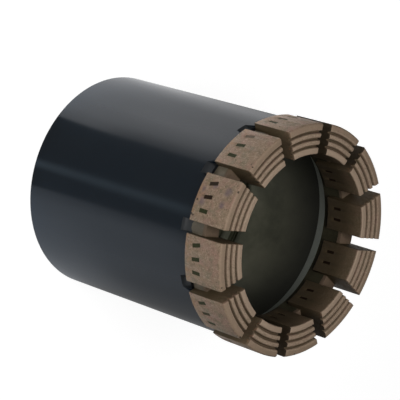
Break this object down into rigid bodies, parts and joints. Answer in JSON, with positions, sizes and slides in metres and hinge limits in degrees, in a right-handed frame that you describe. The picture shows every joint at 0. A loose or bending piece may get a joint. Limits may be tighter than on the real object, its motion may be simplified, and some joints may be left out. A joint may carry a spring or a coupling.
{
  "type": "diamond core bit",
  "caption": "Ring-shaped core drilling bit: a black steel shank with an internal thread box carries a bronze-brown impregnated crown with ridged pads, waterways and flush gauge bars.",
  "frame": {"origin": "centre of the rear face's plane, where the bit's axis meets the surface that it stands on", "axes": "+Z along the bit's axis, from the thread box at the rear to the cutting face; +X through the middle of a waterway"},
  "size_m": [0.1158, 0.1158, 0.139],
  "materials": {
    "shank_paint": "satin blue-black paint over turned steel",
    "crown_matrix": "sintered bronze-bonded matrix with fine diamond grit, matt bronze-brown",
    "gauge_bar": "dark olive-black wear bar, set flush and slightly dull"
  },
  "bodies": {
    "root": {"shank": "shank_paint", "crown": "crown_matrix", "outer_gauge_bars_01": "gauge_bar", "outer_gauge_bars_02": "gauge_bar", "outer_gauge_bars_03": "gauge_bar", "outer_gauge_bars_04": "gauge_bar", "outer_gauge_bars_05": "gauge_bar", "outer_gauge_bars_06": "gauge_bar", "outer_gauge_bars_07": "gauge_bar", "outer_gauge_bars_08": "gauge_bar", "outer_gauge_bars_09": "gauge_bar", "outer_gauge_bars_10": "gauge_bar", "outer_gauge_bars_11": "gauge_bar", "outer_gauge_bars_12": "gauge_bar", "inner_gauge_bars_01": "gauge_bar", "inner_gauge_bars_02": "gauge_bar", "inner_gauge_bars_03": "gauge_bar", "inner_gauge_bars_04": "gauge_bar", "inner_gauge_bars_05": "gauge_bar", "inner_gauge_bars_06": "gauge_bar", "inner_gauge_bars_07": "gauge_bar", "inner_gauge_bars_08": "gauge_bar", "inner_gauge_bars_09": "gauge_bar", "inner_gauge_bars_10": "gauge_bar", "inner_gauge_bars_11": "gauge_bar", "inner_gauge_bars_12": "gauge_bar"}
  },
  "joints": []
}
